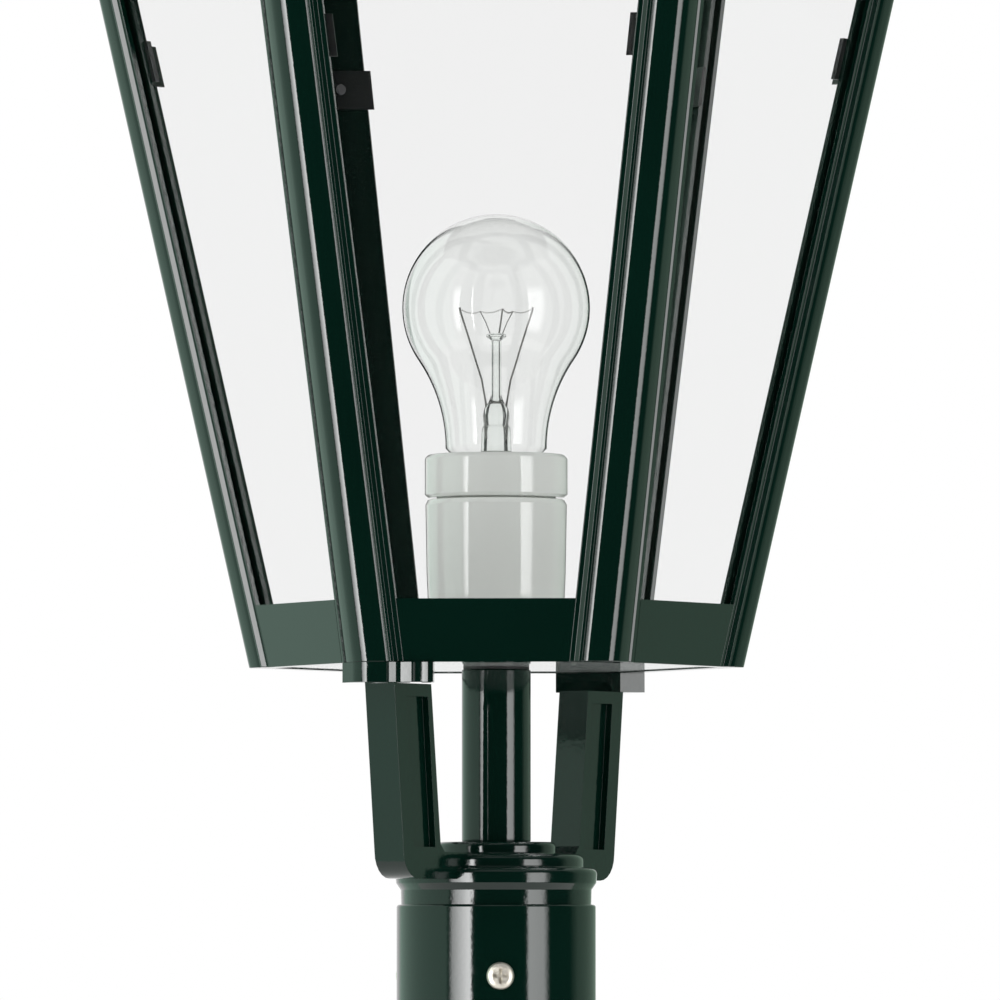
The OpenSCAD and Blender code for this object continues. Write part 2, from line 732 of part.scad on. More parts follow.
module terminal_board() {
    color([0.75, 0.72, 0.6]) difference() {
        translate([-30, 13, 98]) cube([60, 3, 164]);
        for (z = board_screw_z) translate([0, 0, z]) rotate([-90, 0, 0]) cylinder(h = 30, r = 2.6);
    }
}

module board_screws() {
    color([0.7, 0.7, 0.7]) for (z = board_screw_z) translate([0, 0, z]) rotate([-90, 0, 0]) {
        translate([0, 0, 12.9]) cylinder(h = 13, r = 2.5);
        difference() {
            translate([0, 0, 10]) cylinder(h = 2.9, r = 4.5);
            translate([0, 0, 11]) rotate([180, 0, 0]) cross_recess(5, 1.2);
        }
    }
}

module terminal_block() {
    color([0.8, 0.8, 0.78]) difference() {
        translate([-28, -5, 122]) cube([56, 18, 24]);
        for (i = [0 : 4]) translate([-22 + 11 * i, -4, 0]) {
            translate([0, 0, 129]) rotate([90, 0, 0]) cylinder(h = 10, r = 2.5);
            translate([0, 0, 139]) rotate([90, 0, 0]) cylinder(h = 10, r = 2.5);
        }
        translate([-24, 0, 140]) cylinder(h = 10, r = 3.1);
    }
}

module fuse_base() {
    color([0.15, 0.15, 0.16]) difference() {
        translate([-15, -12, 165]) cube([30, 25, 66]);
        translate([-10.5, -13, 172]) cube([21, 15, 52]);
    }
}

module fuse_carrier() {
    color([0.85, 0.85, 0.82]) {
        translate([-10, -11.5, 172.5]) cube([20, 13, 51]);
        translate([-7, -19, 190]) cube([14, 7.6, 16]);
    }
}

module earth_stud() {
    color([0.75, 0.65, 0.35]) {
        translate([38, 0, earth_z]) rotate([0, 90, 0]) cylinder(h = 23, r = 4);
        translate([50, 0, earth_z]) rotate([0, 90, 0]) difference() {
            linear_extrude(6) circle(r = 7.5, $fn = 6);
            translate([0, 0, -1]) cylinder(h = 8, r = 4 + tiny);
        }
    }
}

module tube_screws() {
    color([0.3, 0.3, 0.3]) for (i = [0 : 2]) rotate([0, 0, 30 + 120 * i]) difference() {
        radial_pin(4, tube_r + 0.1, 41.5, tube_screw_z);
        translate([38, 0, tube_screw_z]) rotate([0, 90, 0]) linear_extrude(5) circle(r = 2.3, $fn = 6);
    }
}

// Cable: up beside the fuse, across to the centre in two bends, then straight up the tube and nipple
cable_r = 3;
cable_x = -24;
cable_z = 140.5;        // height of its lower end, in the terminal block
bend_r = 30;
bend_a = acos(1 + cable_x / (2 * bend_r));
bend_z = 245;

// A bend that starts at the origin, going up, and curves towards +X
module bend() {
    translate([bend_r, 0, 0]) rotate([90, 0, 0]) rotate([0, 0, 180 - bend_a])
        rotate_extrude(angle = bend_a) translate([bend_r, 0]) circle(r = cable_r);
}

module lamp_cable() {
    bends_h = 2 * bend_r * sin(bend_a);
    color([0.08, 0.08, 0.08]) {
        translate([cable_x, 0, cable_z]) cylinder(h = bend_z - cable_z, r = cable_r);
        translate([cable_x, 0, bend_z]) bend();
        translate([0, 0, bend_z + bends_h]) rotate([0, 180, 0]) bend();
        translate([0, 0, bend_z + bends_h]) cylinder(h = lantern_z + 24 - bend_z - bends_h, r = cable_r);
    }
}

base_casting();
base_door();
door_hinge_pins();
door_lock();
terminal_board();
board_screws();
terminal_block();
fuse_base();
fuse_carrier();
earth_stud();
post_tube();
tube_screws();
head_casting();
head_screws();
support_arm(240);  // support_arm_front
support_arm(60);  // support_arm_rear
arm_screws();
pad_screws();
stem_tube();
stem_nipple();
nipple_nuts();
stem_washers();
lamp_cable();
bottom_frame();
bottom_pane();
corner_post(0);  // corner_post_1
corner_post(1);  // corner_post_2
corner_post(2);  // corner_post_3
corner_post(3);  // corner_post_4
corner_post(4);  // corner_post_5
corner_post(5);  // corner_post_6
glass_pane(0);  // glass_pane_1
glass_pane(1);  // glass_pane_2
glass_pane(2);  // glass_pane_3
glass_pane(3);  // glass_pane_4
glass_pane(4);  // glass_pane_5
glass_pane(5);  // glass_pane_6
glazing_strips();
glazing_clips();
glazing_screws();
top_frame();
frame_screws();
roof_hinge_lower();
roof_hinge_pin();
roof_hinge_upper();
roof();
vent_collar();
vent_cap();
finial();
roof_screw();
lampholder_body();
lampholder_ring();
lampholder_shell();
lampholder_contact();
bulb_glass();
bulb_cap();
bulb_contact();
bulb_mount();
bulb_filament();
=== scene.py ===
"""Looks of the street lamp post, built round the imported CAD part. Everything is in metres."""
import math
import bmesh
import bpy
from mathutils import Matrix, Vector


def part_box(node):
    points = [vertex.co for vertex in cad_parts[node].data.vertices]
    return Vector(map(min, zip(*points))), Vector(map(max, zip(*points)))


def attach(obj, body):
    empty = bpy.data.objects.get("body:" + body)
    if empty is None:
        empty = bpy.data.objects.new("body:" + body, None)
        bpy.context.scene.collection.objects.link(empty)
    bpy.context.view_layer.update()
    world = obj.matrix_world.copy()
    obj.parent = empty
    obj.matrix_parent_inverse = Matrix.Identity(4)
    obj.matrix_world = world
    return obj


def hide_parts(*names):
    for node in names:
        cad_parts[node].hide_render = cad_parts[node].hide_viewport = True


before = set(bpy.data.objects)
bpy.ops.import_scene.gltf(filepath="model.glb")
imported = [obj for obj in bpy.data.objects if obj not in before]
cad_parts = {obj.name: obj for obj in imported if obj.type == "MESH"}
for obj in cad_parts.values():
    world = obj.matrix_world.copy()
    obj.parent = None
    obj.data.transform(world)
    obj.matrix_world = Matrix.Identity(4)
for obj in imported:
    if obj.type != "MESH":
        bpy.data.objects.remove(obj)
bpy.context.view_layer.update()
scene = bpy.context.scene
MM = 0.001
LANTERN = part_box("bottom_frame")[0].z          # height of the lantern's underside
CORNER_R, LEAN = 0.080, 0.2262                  # corner radius at the underside, and its growth
POST_TOP = 0.268                                # height of the corner posts above the underside
C30 = math.cos(math.radians(30))

# Camera ---------------------------------------------------------------------------------------------------

cam_data = bpy.data.cameras.new("camera")
cam = bpy.data.objects.new("camera", cam_data)
scene.collection.objects.link(cam)
AZ, EL, DIST = math.radians(2.6), math.radians(-2.6), 3.2
target = Vector((0.0012, 0.00005, 1.7536))
cam.location = target + DIST * Vector((math.sin(AZ) * math.cos(EL), -math.cos(AZ) * math.cos(EL), math.sin(EL)))
cam.rotation_euler = (target - cam.location).to_track_quat("-Z", "Y").to_euler()
cam_data.lens, cam_data.sensor_width = 361.0, 36.0
cam_data.clip_end = 50
scene.camera = cam
scene.view_settings.view_transform = "Standard"

# Materials ------------------------------------------------------------------------------------------------


def new_material(name):
    m = bpy.data.materials.new(name)
    m.use_nodes = True
    nt = m.node_tree
    return m, nt, nt.nodes["Principled BSDF"]


def node(nt, kind, links=(), **values):
    """Adds a node; values go to inputs by name or to attributes, links are (input, output socket)."""
    n = nt.nodes.new(kind)
    for key, value in values.items():
        if key in n.inputs:
            n.inputs[key].default_value = value
        else:
            setattr(n, key, value)
    for key, out in links:
        nt.links.new(out, n.inputs[key])
    return n


def ramp(nt, source, stops, ease="LINEAR"):
    r = nt.nodes.new("ShaderNodeValToRGB")
    nt.links.new(source, r.inputs["Fac"])
    r.color_ramp.interpolation = ease
    e = r.color_ramp.elements
    for i, (pos, value) in enumerate(stops):
        item = e[i] if i < 2 else e.new(pos)
        item.position = pos
        item.color = (*value, 1) if isinstance(value, tuple) else (value, value, value, 1)
    return r.outputs["Color"]


def surface(name, colour, rough, metallic=0.0, tint=0.12, rough_var=0.04, patch=14.0, peel=0.0, peel_scale=700.0,
            grain=None, ior=1.5, coat=0.0):
    """A procedural finish: colour that drifts in soft patches, uneven roughness and a fine relief."""
    m, nt, bsdf = new_material(name)
    co = node(nt, "ShaderNodeTexCoord").outputs["Object"]
    if grain:
        co = node(nt, "ShaderNodeMapping", [("Vector", co)], Scale=grain).outputs["Vector"]
    big = node(nt, "ShaderNodeTexNoise", [("Vector", co)], Scale=patch, Detail=4.0).outputs["Fac"]
    dark = tuple(c * (1 - tint) for c in colour)
    light = tuple(min(c * (1 + tint), 1) for c in colour)
    nt.links.new(ramp(nt, big, [(0.3, dark), (0.7, light)]), bsdf.inputs["Base Color"])
    fine = node(nt, "ShaderNodeTexNoise", [("Vector", co)], Scale=patch * 7, Detail=5.0).outputs["Fac"]
    nt.links.new(ramp(nt, fine, [(0.3, max(rough - rough_var, 0.02)), (0.75, rough + rough_var)]),
                 bsdf.inputs["Roughness"])
    if peel:
        relief = node(nt, "ShaderNodeTexNoise", [("Vector", co)], Scale=peel_scale, Detail=2.0).outputs["Fac"]
        bump = node(nt, "ShaderNodeBump", [("Height", relief)], Strength=peel, Distance=0.0002)
        nt.links.new(bump.outputs["Normal"], bsdf.inputs["Normal"])
    bsdf.inputs["Metallic"].default_value = metallic
    bsdf.inputs["IOR"].default_value = ior
    bsdf.inputs["Coat Weight"].default_value = coat
    bsdf.inputs["Coat Roughness"].default_value = 0.04
    return m


def clear(name, colour, alpha, edge, rough=0.03):
    """Glass that is seen straight through, and that mirrors more as it is seen edge on."""
    m, nt, bsdf = new_material(name)
    co = node(nt, "ShaderNodeTexCoord").outputs["Object"]
    n = node(nt, "ShaderNodeTexNoise", [("Vector", co)], Scale=9.0, Detail=2.0).outputs["Fac"]
    nt.links.new(ramp(nt, n, [(0.3, tuple(c * 0.94 for c in colour)), (0.7, colour)]), bsdf.inputs["Base Color"])
    bsdf.inputs["Roughness"].default_value = rough
    facing = node(nt, "ShaderNodeLayerWeight", Blend=0.5).outputs["Facing"]
    nt.links.new(ramp(nt, facing, [(0.0, alpha), (0.7, alpha), (0.96, edge)]), bsdf.inputs["Alpha"])
    return m


def glass(name, colour, rough=0.0, ior=1.46):
    m, nt, bsdf = new_material(name)
    co = node(nt, "ShaderNodeTexCoord").outputs["Object"]
    n = node(nt, "ShaderNodeTexNoise", [("Vector", co)], Scale=30.0, Detail=2.0).outputs["Fac"]
    nt.links.new(ramp(nt, n, [(0.3, tuple(c * 0.985 for c in colour)), (0.7, colour)]), bsdf.inputs["Base Color"])
    bsdf.inputs["Transmission Weight"].default_value = 1.0
    bsdf.inputs["Roughness"].default_value = rough
    bsdf.inputs["IOR"].default_value = ior
    return m


PAINT = surface("green_powder_coat", (0.0010, 0.0112, 0.0072), 0.075, tint=0.10, rough_var=0.015, peel=0.08)
CAST = surface("green_cast_coat", (0.0010, 0.0108, 0.0070), 0.10, tint=0.14, rough_var=0.02, peel=0.22, peel_scale=420)
STRIP = surface("dark_strip", (0.002, 0.012, 0.008), 0.22, tint=0.12, rough_var=0.04, peel=0.1)
BLACK = surface("black_plastic", (0.012, 0.013, 0.013), 0.38, tint=0.15, peel=0.3, peel_scale=1400)
RUBBER = surface("rubber_seal", (0.018, 0.018, 0.018), 0.7, tint=0.2, rough_var=0.08, peel=0.5, peel_scale=900)
STEEL = surface("stainless_steel", (0.72, 0.68, 0.60), 0.46, metallic=1, tint=0.05, rough_var=0.06, peel=0.12,
                peel_scale=900, grain=(1, 1, 9))
DARK_STEEL = surface("black_steel", (0.05, 0.05, 0.052), 0.55, metallic=0.8, tint=0.2, rough_var=0.08, peel=0.2)
BRASS = surface("satin_brass", (0.62, 0.44, 0.18), 0.28, metallic=1, tint=0.08, rough_var=0.08, peel=0.1)
PORCELAIN = surface("white_porcelain", (0.87, 0.90, 0.86), 0.10, tint=0.02, rough_var=0.02, peel=0.04,
                    peel_scale=160, coat=0.4)
CAP = surface("cap_aluminium", (0.78, 0.77, 0.73), 0.25, metallic=1, tint=0.05, rough_var=0.06, peel=0.1)
WIRE = surface("wire", (0.26, 0.26, 0.25), 0.34, metallic=1, tint=0.12, patch=90)
TUNGSTEN = surface("tungsten", (0.33, 0.32, 0.31), 0.45, metallic=1, tint=0.12, patch=90)
PALE = surface("pale_plastic", (0.60, 0.60, 0.56), 0.42, tint=0.05, peel=0.3, peel_scale=1300)
BOARD = surface("laminated_board", (0.30, 0.18, 0.085), 0.5, tint=0.25, patch=30, peel=0.3, grain=(1, 8, 0.6))
SHEATH = surface("cable_sheath", (0.022, 0.022, 0.023), 0.5, tint=0.15, peel=0.4, peel_scale=500)
PANE = clear("clear_pane", (0.02, 0.03, 0.025), 0.035, 0.10)
PALE_GLASS = clear("pale_pane", (0.66, 0.71, 0.69), 0.10, 0.9, 0.04)
BULB = glass("bulb_glass", (0.985, 0.992, 0.985))
STEM_GLASS = glass("stem_glass", (0.93, 0.96, 0.94), ior=1.5)
FLOOR = surface("pale_floor", (0.80, 0.80, 0.79), 0.6, tint=0.02, rough_var=0.05, patch=2.0, peel=0.2, peel_scale=60)

# Mesh helpers ---------------------------------------------------------------------------------------------


def finish_piece(name, mesh, material, body, nodes=(), bevel=0.0, limit=35.0, segments=3, smooth=35.0):
    """Makes the object, rounds its sharp edges, shades it and fastens it to its body."""
    for p in mesh.polygons:
        p.use_smooth = True
    mesh.set_sharp_from_angle(angle=math.radians(smooth))
    mesh.materials.clear()
    mesh.materials.append(material)
    o = bpy.data.objects.new(name, mesh)
    scene.collection.objects.link(o)
    if bevel:
        b = o.modifiers.new("round", "BEVEL")
        b.width, b.segments, b.limit_method, b.angle_limit = bevel, segments, "ANGLE", math.radians(limit)
        b.use_clamp_overlap = True
        w = o.modifiers.new("even", "WEIGHTED_NORMAL")
        w.keep_sharp = True
    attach(o, body)
    if nodes:
        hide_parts(*nodes)
    return o


def mesh_from(verts, faces, name="m"):
    m = bpy.data.meshes.new(name)
    m.from_pydata([tuple(v) for v in verts], [], faces)
    m.validate()
    return m


def faced_out(m):
    """The mesh with its faces turned outwards."""
    bm = bmesh.new()
    bm.from_mesh(m)
    bmesh.ops.recalc_face_normals(bm, faces=bm.faces)
    bm.to_mesh(m)
    bm.free()
    return m


def joined(meshes):
    """One mesh from several."""
    bm = bmesh.new()
    for m in meshes:
        bm.from_mesh(m)
    out = bpy.data.meshes.new("joined")
    bm.to_mesh(out)
    bm.free()
    return out


def placed(mesh, matrix):
    m = mesh.copy()
    m.transform(matrix)
    return m


def fillet(points, radii, steps=4, closed=False):
    """Points with an arc of the given radius at each corner; radii is one number or one for each point."""
    n = len(points)
    rs = [radii] * n if isinstance(radii, (int, float)) else list(radii)
    out = []
    for i in range(n):
        p = Vector(points[i])
        if rs[i] <= 0 or (not closed and i in (0, n - 1)):
            out.append(p)
            continue
        a, b = Vector(points[i - 1]) - p, Vector(points[(i + 1) % n]) - p
        la, lb = a.length, b.length
        a, b = a / la, b / lb
        half = math.acos(max(-1, min(1, a.dot(b)))) / 2
        if half > math.radians(88):
            out.append(p)
            continue
        t = min(rs[i] / math.tan(half), la * 0.48, lb * 0.48)
        r = t * math.tan(half)
        centre = p + (a + b).normalized() * (r / math.sin(half))
        s, e = p + a * t - centre, p + b * t - centre
        turn = math.atan2(s.x * e.y - s.y * e.x, s.dot(e))
        for k in range(steps + 1):
            g = turn * k / steps
            out.append(centre + Vector((s.x * math.cos(g) - s.y * math.sin(g), s.x * math.sin(g) + s.y * math.cos(g))))
    return out


def lathe(profile, segs=96, closed=False, z0=0.0):
    """Turns a profile of (radius, height) round the Z axis; points on the axis become one vertex."""
    verts, faces, rings = [], [], []
    for r, z in profile:
        if r < 1e-7:
            rings.append([len(verts)])
            verts.append((0, 0, z + z0))
        else:
            rings.append(list(range(len(verts), len(verts) + segs)))
            verts += [(r * math.cos(2 * math.pi * k / segs), r * math.sin(2 * math.pi * k / segs), z + z0)
                      for k in range(segs)]
    pairs = list(zip(rings, rings[1:])) + ([(rings[-1], rings[0])] if closed else [])
    for a, b in pairs:
        for k in range(segs):
            j = (k + 1) % segs
            if len(a) == 1 and len(b) == 1:
                continue
            if len(a) == 1:
                faces.append((a[0], b[k], b[j]))
            elif len(b) == 1:
                faces.append((a[k], b[0], a[j]))
            else:
                faces.append((a[k], b[k], b[j], a[j]))
    m = mesh_from(verts, faces)
    return faced_out(m)


def turned(name, profile, material, body, nodes=(), radii=0.0, segs=96, closed=True, z0=LANTERN, smooth=50.0):
    """A turned piece from a profile in millimetres."""
    pts = [(p[0] * MM, p[1] * MM) for p in (fillet(profile, radii, 5, closed) if radii else profile)]
    return finish_piece(name, lathe(pts, segs, closed, z0), material, body, nodes, smooth=smooth)


def loft(outline, rings, cap=True):
    """Stacks rings of the same outline; rings is a list of functions from an outline point to a place."""
    n = len(outline)
    verts = [f(p) for f in rings for p in outline]
    faces = []
    for i in range(len(rings) - 1):
        for k in range(n):
            j = (k + 1) % n
            faces.append((i * n + k, i * n + j, (i + 1) * n + j, (i + 1) * n + k))
    if cap:
        faces.append(tuple(reversed(range(n))))
        faces.append(tuple(range((len(rings) - 1) * n, len(rings) * n)))
    m = mesh_from(verts, faces)
    return faced_out(m)


def prism(outline, depth, matrix=None):
    """A straight solid from a 2D outline, from z = 0 to depth."""
    m = loft([Vector(p) for p in outline], [lambda p: (p.x, p.y, 0.0), lambda p: (p.x, p.y, depth)])
    if matrix:
        m.transform(matrix)
    return m


def carved(mesh, cutters):
    """The mesh less the cutter meshes."""
    o = bpy.data.objects.new("carved", mesh)
    scene.collection.objects.link(o)
    tools = []
    for c in cutters:
        t = bpy.data.objects.new("cutter", c)
        scene.collection.objects.link(t)
        tools.append(t)
        b = o.modifiers.new("cut", "BOOLEAN")
        b.operation, b.object, b.solver = "DIFFERENCE", t, "EXACT"
    out = bpy.data.meshes.new_from_object(o.evaluated_get(bpy.context.evaluated_depsgraph_get()))
    for t in tools + [o]:
        bpy.data.objects.remove(t)
    return out


def softened(cad_node, material, body, bevel=0.5, limit=40.0, segments=3):
    """A detailed stand-in for a casting or pressing: the CAD solid's faces with its hard edges rounded."""
    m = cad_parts[cad_node].data.copy()
    bm = bmesh.new()
    bm.from_mesh(m)
    bmesh.ops.remove_doubles(bm, verts=bm.verts, dist=1e-6)
    bmesh.ops.dissolve_limit(bm, angle_limit=math.radians(0.6), verts=bm.verts, edges=bm.edges)
    bm.to_mesh(m)
    bm.free()
    if "custom_normal" in m.attributes:
        m.attributes.remove(m.attributes["custom_normal"])
    return finish_piece(cad_node + "_piece", m, material, body, [cad_node], bevel * MM, limit, segments)


def tube_along(points, radius, sides=16, closed_ends=True):
    """A round wire through 3D points."""
    pts = [Vector(p) for p in points]
    verts, faces = [], []
    up = Vector((0, 0, 1))
    for i, p in enumerate(pts):
        d = (pts[min(i + 1, len(pts) - 1)] - pts[max(i - 1, 0)]).normalized()
        side = d.cross(up)
        side = side.normalized() if side.length > 1e-4 else Vector((1, 0, 0))
        over = side.cross(d).normalized()
        verts += [p + radius * (math.cos(2 * math.pi * k / sides) * side + math.sin(2 * math.pi * k / sides) * over)
                  for k in range(sides)]
    for i in range(len(pts) - 1):
        for k in range(sides):
            j = (k + 1) % sides
            faces.append((i * sides + k, i * sides + j, (i + 1) * sides + j, (i + 1) * sides + k))
    if closed_ends:
        faces.append(tuple(range(sides)))
        faces.append(tuple(reversed(range((len(pts) - 1) * sides, len(pts) * sides))))
    m = mesh_from(verts, faces)
    return faced_out(m)


def spin(degrees):
    return Matrix.Rotation(math.radians(degrees), 4, "Z")


UP = Matrix.Translation((0, 0, LANTERN))

# Lantern --------------------------------------------------------------------------------------------------


def flank(s, h, side):
    """Point of a level section near a corner: s along the face, h outwards, in millimetres."""
    return (-s * 0.5 + h * C30, side * (s * C30 + h * 0.5))


def post_section():
    nose = 7.0
    half = [(-nose / C30 + nose * math.cos(math.radians(t)), nose * math.sin(math.radians(t)))
            for t in range(0, 31, 2)]
    rest = [flank(8.0, 0, 1), flank(9.4, -0.75, 1), flank(10.2, -0.15, 1), flank(11.1, -0.15, 1),
            flank(12.5, -1.4, 1), flank(14.2, -1.4, 1), flank(14.2, -3.1, 1), flank(10, -3.1, 1),
            flank(10, -5.4, 1), (-5.4 / C30, 0)]
    half += [tuple(p) for p in fillet(rest, [0.35, 0.3, 0.25, 0.25, 0.35, 0, 0, 0, 0, 0], 3)]
    other = [(x, -y) for x, y in reversed(half[:-1])][:-1]
    return [Vector((x * MM, y * MM)) for x, y in half + other]


section = post_section()
for i in range(6):
    rings = [lambda p, z=z: (CORNER_R + LEAN * z + p.x, p.y, z) for z in (0.0, POST_TOP)]
    mesh = loft(section, rings)
    mesh.transform(UP @ spin(60 * i))
    finish_piece(f"corner_bar_{i + 1}", mesh, PAINT, "post", [f"corner_post_{i + 1}"],
                 bevel=0.35 * MM, limit=55, smooth=32)

softened("bottom_frame", PAINT, "post", 0.45)
softened("top_frame", PAINT, "post", 0.6)


def round_head(r, h, recess, depth):
    """A domed screw head that stands on z = 0, with a cross recess."""
    rim = [(0, 0), (r, 0), (r, h * 0.38), (r * 0.93, h * 0.72), (r * 0.66, h * 0.94), (0, h)]
    head = lathe([(p[0], p[1]) for p in fillet(rim, [0, 0, r * 0.12, r * 0.25, r * 0.3, 0], 4)], 48)
    w = recess * 0.2
    quarter = [(recess, -w), (recess, w), (w, w)]
    cross = [Vector((x * math.cos(t) - y * math.sin(t), x * math.sin(t) + y * math.cos(t)))
             for t in [math.pi / 2 * k for k in range(4)] for x, y in quarter]
    return carved(head, [prism(cross, h, Matrix.Translation((0, 0, h - depth)))])


def outward(angle, radius, z):
    """Turns a piece that points up so that it points outwards at an angle round the axis."""
    return spin(angle) @ Matrix.Translation((radius, 0, z)) @ Matrix.Rotation(math.radians(90), 4, "Y")


screw = round_head(4.35 * MM, 2.8 * MM, 2.3 * MM, 1.3 * MM)
shank = lathe([(0, -8.5 * MM), (2.1 * MM, -8.5 * MM), (2.1 * MM, 0.1 * MM), (0, 0.1 * MM)], 32)
tube_r = 31.75 * MM
FIRST_SCREW, SCREW_DROP = 274.9, 98 * MM        # direction in degrees, and depth below the underside
parts = [placed(m, outward(FIRST_SCREW + 120 * k, tube_r + 0.3 * MM, LANTERN - SCREW_DROP)) for k in range(3)
         for m in (screw, shank)]
finish_piece("head_screw_set", joined(parts), STEEL, "post", ["head_screws"], smooth=28)

# Arms, head, stem and tube --------------------------------------------------------------------------------

softened("support_arm_front", CAST, "post", 0.6, limit=40, segments=4)
softened("support_arm_rear", CAST, "post", 0.6, limit=40, segments=4)

HEAD = -75.4
head_profile = [(5.1, -55.5), (19, -55.5), (19, -59.4), (27.8, -59.4), (27.8, -63.8), (32.3, -63.8), (31.9, -68.6),
                (30.4, -70.8), (30.3, HEAD), (28.6, HEAD), (28.6, -130), (22, -130), (22, -74), (5.1, -74)]
head_radii = [0, 1.6, 0.6, 2.4, 0.7, 3.0, 1.0, 0.5, 0, 0, 0.4, 0, 0, 0]
turned("head_turned", head_profile, CAST, "post", ["head_casting"], head_radii, segs=160)
turned("stem_turned", [(11, -55.5), (11, -0.6), (9, -0.6), (9, -55.5)], PAINT, "post",
       ["stem_tube"], [0.5, 0.5, 0.2, 0.2], segs=128)
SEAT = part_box("post_tube")[0].z / MM - LANTERN / MM
turned("tube_turned", [(31.75, SEAT), (31.75, HEAD), (28.75, HEAD), (28.75, SEAT)], PAINT, "post",
       ["post_tube"], [0.4, 0.9, 0.4, 0.2], segs=160)

# Lamp -----------------------------------------------------------------------------------------------------

turned("holder_body", [(5.4, 6), (19.5, 6), (21.2, 8), (22.2, 30), (22.6, 52), (21.8, 53.6), (19, 53.6), (19, 55),
                       (14.7, 55), (14.7, 33), (5, 33), (5, 30), (16, 30), (16, 12), (5.4, 12)],
       PORCELAIN, "post", ["lampholder_body"],
       [0.3, 1, 1.5, 0, 1.0, 0.6, 0.4, 0.2, 0.6, 0.5, 0.3, 0.2, 1, 1, 0.3], segs=128)
turned("holder_ring", [(19.1, 54.2), (21.6, 54.2), (22.8, 55.2), (22.8, 66.8), (21.7, 68), (18, 68), (17.4, 67),
                       (17.4, 62.5), (14.7, 61.5), (14.7, 55.1), (19.1, 55.1)],
       PORCELAIN, "post", ["lampholder_ring"],
       [0.2, 0.5, 0.6, 1.2, 0.9, 0.5, 0.6, 0.4, 0.5, 0.4, 0.2], segs=128)

BULB_Z, BULB_R, NECK_R, NECK_DROP = 115.0, 30.0, 16.2, 45.0
BLEND_R = (NECK_DROP ** 2 + NECK_R ** 2 - BULB_R ** 2) / (2 * (BULB_R - NECK_R))
BLEND_A = math.degrees(math.asin(NECK_DROP / (BULB_R + BLEND_R)))


def bulb_outline(w):
    """The globe, its concave neck, and the straight end inside the cap, inset by w."""
    pts = [((BULB_R - w) * math.cos(math.radians(t)), BULB_Z + (BULB_R - w) * math.sin(math.radians(t)))
           for t in [90 - (90 + BLEND_A) * k / 40 for k in range(41)]]
    for k in range(1, 15):
        t = math.radians(180 - BLEND_A * (1 - k / 14))
        pts.append((NECK_R + BLEND_R + (BLEND_R + w) * math.cos(t), BULB_Z - NECK_DROP + (BLEND_R + w) * math.sin(t)))
    pts += [(13.4 - w, 67.0), (12.4 - w, 64.5), (12.3 - w, 60.0)]
    return [(max(r, 0.0), z) for r, z in pts]


shell = bulb_outline(0) + list(reversed(bulb_outline(0.55)))
turned("bulb_shell", shell, BULB, "bulb", ["bulb_glass"], segs=144, closed=False, smooth=60)


def thread_profile(r, z0, z1, pitch, depth):
    """The wavy outline of a rolled screw cap."""
    n = int((z1 - z0) / pitch * 8)
    return [(r - depth * (0.5 + 0.5 * math.cos(2 * math.pi * k / 8)), z0 + (z1 - z0) * k / n) for k in range(n + 1)]


cap_outer = [(7, 41)] + thread_profile(13.2, 43.5, 61, 3.2, 0.9) + [(13.2, 62), (13.2, 66), (12.75, 66)]
cap_inner = [(12.3, 62)] + [(12.0, 61), (12.0, 44), (6.5, 42)]
turned("bulb_screw_cap", cap_outer + cap_inner, CAP, "bulb", ["bulb_cap"], segs=96)
mount = [(0, 60), (9.5, 60), (9.2, 61), (6.2, 65), (4.9, 69), (4.7, 75), (4.5, 76.6), (3.9, 77.4), (4.1, 78.6),
         (4.3, 80.5), (3.8, 83), (2.4, 85), (1.65, 87), (1.6, 95), (1.6, 104.6), (2.6, 105.2), (3.2, 105.7),
         (3.2, 106.3), (2.4, 106.8), (0, 106.9)]
turned("bulb_stem_glass", mount, STEM_GLASS, "bulb", ["bulb_mount"],
       [0, 0.3, 1, 3, 3, 2, 0.6, 0.4, 0.8, 1.5, 1.5, 1.5, 2, 0, 0.4, 0.4, 0.4, 0.4, 0.4, 0], segs=64, closed=False)

wires = []
for side in (-1, 1):
    wires.append(tube_along([(side * 3.4, 0, 85), (side * 4.6, 0, 92), (side * 8.0, 0, 103), (side * 11.5, 0, 114),
                             (side * 11.7, 0, 115.2)], 0.30))
    wires.append(tube_along([(side * 2.2, 0, 73.0), (side * 2.6, 0, 79), (side * 3.4, 0, 85)], 0.35))
    wires.append(tube_along([(side * 1.9, 0.6, 106.6), (side * 3.4, 1.8, 110.5), (side * 5.2, 2.6, 114)], 0.16))
wires.append(tube_along([(0.9, -0.5, 106.6), (1.6, -1.2, 111), (2.1, -1.6, 114.6)], 0.28))
coil = []
arc = [(-11.5, 0, 114.6), (-5.2, 2.6, 114), (2.1, -1.6, 114.6), (5.2, 2.6, 114), (11.5, 0, 114.6)]
for k in range(len(arc) - 1):
    a, b = Vector(arc[k]), Vector(arc[k + 1])
    side = (b - a).cross(Vector((0, 0, 1))).normalized()
    for t in range(60):
        g = t / 60
        sag = Vector((0, 0, -0.8 * math.sin(math.pi * g)))
        ang = 2 * math.pi * g * 12
        coil.append(a.lerp(b, g) + sag + 0.22 * (math.cos(ang) * side + math.sin(ang) * Vector((0, 0, 1))))
coil.append(Vector(arc[-1]))
lead_mesh = joined(wires)
lead_mesh.transform(UP @ Matrix.Scale(MM, 4))
finish_piece("bulb_leads", lead_mesh, WIRE, "bulb", ["bulb_filament"], smooth=60)
coil_mesh = tube_along(coil, 0.07, 6)
coil_mesh.transform(UP @ Matrix.Scale(MM, 4))
finish_piece("bulb_coil", coil_mesh, TUNGSTEN, "bulb", smooth=80)

# Roof -----------------------------------------------------------------------------------------------------

